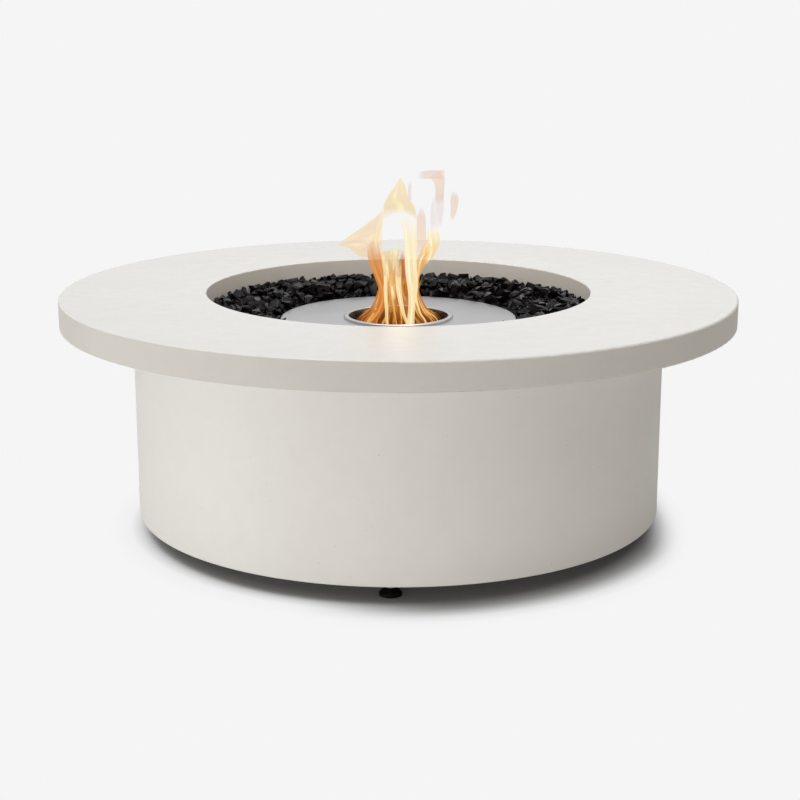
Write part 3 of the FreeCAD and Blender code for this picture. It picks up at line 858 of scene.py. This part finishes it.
def front_strands():
    """Bright ribbons on the curtain's visible side."""
    for name, (foot, waist, half_width, top, low, bright) in flame_strands.items():
        piece = "flame_strand_" + name
        material = flame_material(piece, low, bright, bright, *strand_cover, strand_streaks)
        flame_strand(piece, foot, waist, half_width / 1000.0, top / 1000.0, material)


def rear_strands():
    """Paler ribbons on the curtain's far side."""
    draw = random.Random(back_seed)
    distant = flame_material("flame_back_strand", amber, gold, cream, *back_strand_cover, strand_streaks)
    for number in range(back_strands):
        foot = 180.0 * (number + draw.uniform(*back_shift)) / back_strands
        flame_strand(f"flame_back_strand_{number}", foot, foot + draw.uniform(*back_turn),
                     draw.uniform(*back_half_width), draw.uniform(*back_height), distant)


def tongues():
    """Broad sheets of flame over the curtain and above it."""
    for name, (left, right, (bulge, depth), colours, covers) in flame_tongues.items():
        piece = "flame_" + name
        material = flame_material(piece, *colours, *covers)
        flame_sheet(piece, tongue_edge(left), tongue_edge(right), material,
                    bulge=bulge / 1000.0, depth=depth / 1000.0, arch=root_arches.get(name, 0.0))


def flame_light():
    """The small warm light of the flame."""
    glow = bpy.data.lights.new("flame_glow", "POINT")
    glow.energy = flame_glow_power
    glow.color = flame_glow_colour
    glow.shadow_soft_size = flame_glow_radius
    add_object("flame_glow", glow).location = (0.0, 0.0, mouth_level + flame_glow_height)


def flame():
    """Alcohol flame above the burner: an amber curtain and bright strands, with broad tongues over them."""
    flame_curtain()
    front_strands()
    rear_strands()
    tongues()
    flame_light()


def seen_ray(tree):
    """1 for camera, mirror and see-through rays, 0 for rays that light the object."""
    path = add_node(tree, "LightPath")
    seen = math_node(tree, "MAXIMUM", path.outputs["Is Camera Ray"], path.outputs["Is Glossy Ray"])
    return math_node(tree, "MAXIMUM", seen, path.outputs["Is Transmission Ray"])


def floor_material():
    """Matt pale floor with painted shade, on top of its real shadow, that looks dark under the drum and
    turns into the plain backdrop further out.
    """
    material, tree, output = new_material("studio_floor")
    seen = seen_ray(tree)
    place = object_coordinates(tree)
    squeezed = add_node(tree, "VectorMath", {0: place, 1: shade_squeeze}, operation="MULTIPLY")
    reach = radius_of(tree, squeezed.outputs[0])
    across = part_of(tree, place, "X")
    past_middle, before_rim = band(tree, across, *fade_change), band(tree, across, *fade_return)
    right_side = math_node(tree, "MULTIPLY", past_middle, before_rim)
    fade = blend(tree, "MIX", right_side, ramp(tree, reach, fade_left), ramp(tree, reach, fade_right))
    far = math_node(tree, "MULTIPLY", fade, seen)
    # Painted shade: the eye sees the floor in the dark contact colour, while the light that it throws back
    # is pale
    matt = add_node(tree, "BsdfDiffuse", {"Color": blend(tree, "MIX", seen, floor_colour, painted_contact_shade)})
    plain = add_node(tree, "Emission", {"Color": backdrop_colour, "Strength": 1.0})
    mixed_surface(tree, output, far, matt, plain)
    return material


def studio_floor():
    """Flat floor at z = 0."""
    size = floor_reach
    corners = [(-size, -size, 0), (size, -size, 0), (size, size, 0), (-size, size, 0)]
    mesh = bpy.data.meshes.new("studio_floor")
    mesh.from_pydata(corners, [], [(0, 1, 2, 3)])
    floor = add_object("studio_floor", mesh)
    set_material(floor, floor_material())


def room_light(tree):
    """Strength of the room's soft light by direction, brighter on the sides that have windows."""
    direction = add_node(tree, "TexCoord").outputs["Generated"]
    total = 0.0
    for side, share in room_sides.values():
        facing = add_node(tree, "VectorMath", {0: direction, 1: side}, operation="DOT_PRODUCT")
        facing = math_node(tree, "MAXIMUM", facing.outputs["Value"], 0.0)
        total = math_node(tree, "ADD", total, math_node(tree, "MULTIPLY", facing, share))
    return total


def room():
    """World that lights the object from its windows and looks like the plain backdrop."""
    world = bpy.data.worlds.new("studio_world")
    bpy.context.scene.world = world
    world.use_nodes = True
    tree = world.node_tree
    tree.nodes.clear()
    output = tree.nodes.new("ShaderNodeOutputWorld")
    lit = add_node(tree, "Background", {"Color": room_colour, "Strength": room_light(tree)})
    shown = add_node(tree, "Background", {"Color": backdrop_colour, "Strength": 1.0})
    mixed_surface(tree, output, seen_ray(tree), lit, shown)


def area_light(name, place, size, power, colour):
    """Rectangular soft light that points at the table."""
    light = bpy.data.lights.new(name, "AREA")
    light.color = colour
    light.shape = "RECTANGLE"
    light.size, light.size_y = size
    light.energy = power
    item = add_object(name, light)
    item.location = place
    item.rotation_euler = (Vector(lamp_target) - Vector(place)).to_track_quat("-Z", "Y").to_euler()


def studio():
    """Pale floor and backdrop, light from the room, soft lamps overhead and low ones at the left."""
    studio_floor()
    room()
    for name, (place, size, power, colour) in lamps.items():
        area_light(name, place, size, power, colour)


def camera():
    """The photograph's view."""
    lens = bpy.data.cameras.new("camera")
    lens.lens = camera_lens
    lens.sensor_width = camera_sensor
    item = add_object("camera", lens)
    item.location = camera_place
    item.rotation_euler = (math.radians(90.0 - camera_tilt_down), 0.0, 0.0)
    bpy.context.scene.camera = item


bpy.context.scene.view_settings.view_transform = "Standard"
camera()
studio()
main_materials()
fire_glass()
flame()
